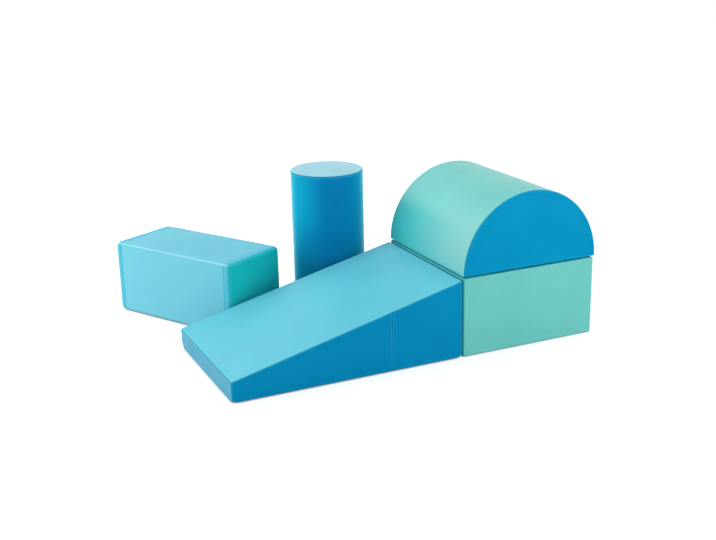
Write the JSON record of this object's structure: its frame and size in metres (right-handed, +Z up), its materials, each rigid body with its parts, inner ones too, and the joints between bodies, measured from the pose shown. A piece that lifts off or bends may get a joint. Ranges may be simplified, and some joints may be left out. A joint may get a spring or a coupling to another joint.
{
  "type": "soft play block set",
  "caption": "Set of soft foam play blocks in zipped vinyl covers: a ramp against a base box with a half-round on top, beside a loose square block and an upright cylinder.",
  "frame": {"origin": "centre of the base box's underside, on the floor", "axes": "+X points up the ramp to the base box, -Y is the side that the ramp, the base box and the half-round show, +Z is up"},
  "size_m": [1.3464, 1.1069, 0.5139],
  "materials": {
    "vinyl_sky": "satin",
    "vinyl_blue": "satin",
    "vinyl_mint": "satin",
    "vinyl_teal": "satin",
    "vinyl_ice": "satin",
    "non_slip": "matte, dotted",
    "foam": "matte, open cell",
    "zip_tape": "matte, woven",
    "zip_chain": "satin",
    "zip_metal": "satin",
    "hook_tape": "matte, hooked",
    "loop_tape": "matte, looped"
  },
  "bodies": {
    "base": {"base_back_panel": "vinyl_mint", "base_foam_core": "foam", "base_front_panel": "vinyl_mint", "base_left_loop_strip": "loop_tape", "base_left_panel": "vinyl_mint", "base_right_loop_strip": "loop_tape", "base_right_panel": "vinyl_mint", "base_side_loop_strip": "loop_tape", "base_top_panel": "vinyl_mint", "base_underside": "non_slip", "base_zip_chain": "zip_chain", "base_zip_tape": "zip_tape"},
    "ramp": {"ramp_far_high_panel": "vinyl_blue", "ramp_far_low_panel": "vinyl_blue", "ramp_foam_core": "foam", "ramp_high_end_panel": "vinyl_blue", "ramp_hook_strip": "hook_tape", "ramp_low_end_panel": "vinyl_blue", "ramp_near_high_panel": "vinyl_blue", "ramp_near_low_panel": "vinyl_blue", "ramp_top_panel": "vinyl_sky", "ramp_underside": "non_slip", "ramp_zip_chain": "zip_chain", "ramp_zip_tape": "zip_tape"},
    "arch": {"arch_curved_panel": "vinyl_mint", "arch_far_end_panel": "vinyl_blue", "arch_foam_core": "foam", "arch_left_hook_strip": "hook_tape", "arch_near_end_panel": "vinyl_blue", "arch_right_hook_strip": "hook_tape", "arch_underside": "vinyl_blue", "arch_zip_chain": "zip_chain", "arch_zip_tape": "zip_tape"},
    "block": {"block_foam_core": "foam", "block_left_panel": "vinyl_teal", "block_right_panel": "vinyl_teal", "block_underside": "non_slip", "block_wrap_panel": "vinyl_sky", "block_zip_chain": "zip_chain", "block_zip_tape": "zip_tape"},
    "cylinder": {"cylinder_foam_core": "foam", "cylinder_top_panel": "vinyl_ice", "cylinder_underside": "non_slip", "cylinder_wrap_panel": "vinyl_blue", "cylinder_zip_chain": "zip_chain", "cylinder_zip_tape": "zip_tape"},
    "base_slider": {"base_zip_slider": "zip_metal"},
    "base_pull": {"base_zip_pull": "zip_metal"},
    "ramp_slider": {"ramp_zip_slider": "zip_metal"},
    "ramp_pull": {"ramp_zip_pull": "zip_metal"},
    "arch_slider": {"arch_zip_slider": "zip_metal"},
    "arch_pull": {"arch_zip_pull": "zip_metal"},
    "block_slider": {"block_zip_slider": "zip_metal"},
    "block_pull": {"block_zip_pull": "zip_metal"},
    "cylinder_slider": {"cylinder_zip_slider": "zip_metal"},
    "cylinder_pull": {"cylinder_zip_pull": "zip_metal"}
  },
  "joints": [
    {"name": "ramp_slide_away", "type": "slide", "parent": "base", "child": "ramp", "axis": [-1, 0, 0], "range_m": [0, 0.4]},
    {"name": "arch_lift_off", "type": "slide", "parent": "base", "child": "arch", "axis": [0, 0, 1], "range_m": [0, 0.35]},
    {"name": "block_slide_away", "type": "slide", "parent": "base", "child": "block", "axis": [0, 1, 0], "range_m": [0, 0.3]},
    {"name": "cylinder_slide_away", "type": "slide", "parent": "base", "child": "cylinder", "axis": [0, 1, 0], "range_m": [0, 0.3]},
    {"name": "base_zip_slide", "type": "slide", "parent": "base", "child": "base_slider", "axis": [-1, 0, 0], "range_m": [0, 0.3154]},
    {"name": "base_pull_swing", "type": "hinge", "parent": "base_slider", "child": "base_pull", "pos_m": [0.1727, 0.2514, 0.036], "axis": [0, 0, -1], "range_deg": [0, 150]},
    {"name": "ramp_zip_slide", "type": "slide", "parent": "ramp", "child": "ramp_slider", "axis": [-1, 0, 0], "range_m": [0, 0.3494]},
    {"name": "ramp_pull_swing", "type": "hinge", "parent": "ramp_slider", "child": "ramp_pull", "pos_m": [-0.5642, 0.2514, 0.036], "axis": [0, 0, -1], "range_deg": [0, 150]},
    {"name": "arch_zip_slide", "type": "slide", "parent": "arch", "child": "arch_slider", "axis": [-1, 0, 0], "range_m": [0, 0.3224]},
    {"name": "arch_pull_swing", "type": "hinge", "parent": "arch_slider", "child": "arch_pull", "pos_m": [0.1782, 0.2514, 0.2999], "axis": [0, 0, -1], "range_deg": [0, 150]},
    {"name": "block_zip_slide", "type": "slide", "parent": "block", "child": "block_slider", "axis": [-0.4939, 0.8695, 0], "range_m": [0, 0.3624]},
    {"name": "block_pull_swing", "type": "hinge", "parent": "block_slider", "child": "block_pull", "pos_m": [-0.64658, 0.45068, 0.036], "axis": [0, 0, -1], "range_deg": [0, 150]},
    {"name": "cylinder_zip_slide", "type": "slide", "parent": "cylinder", "child": "cylinder_slider", "axis": [0, 0, -1], "range_m": [0, 0.3364]},
    {"name": "cylinder_pull_swing", "type": "hinge", "parent": "cylinder_slider", "child": "cylinder_pull", "pos_m": [-0.42185, 0.5114, 0.4372], "axis": [1, 0, 0], "range_deg": [0, 150]}
  ]
}
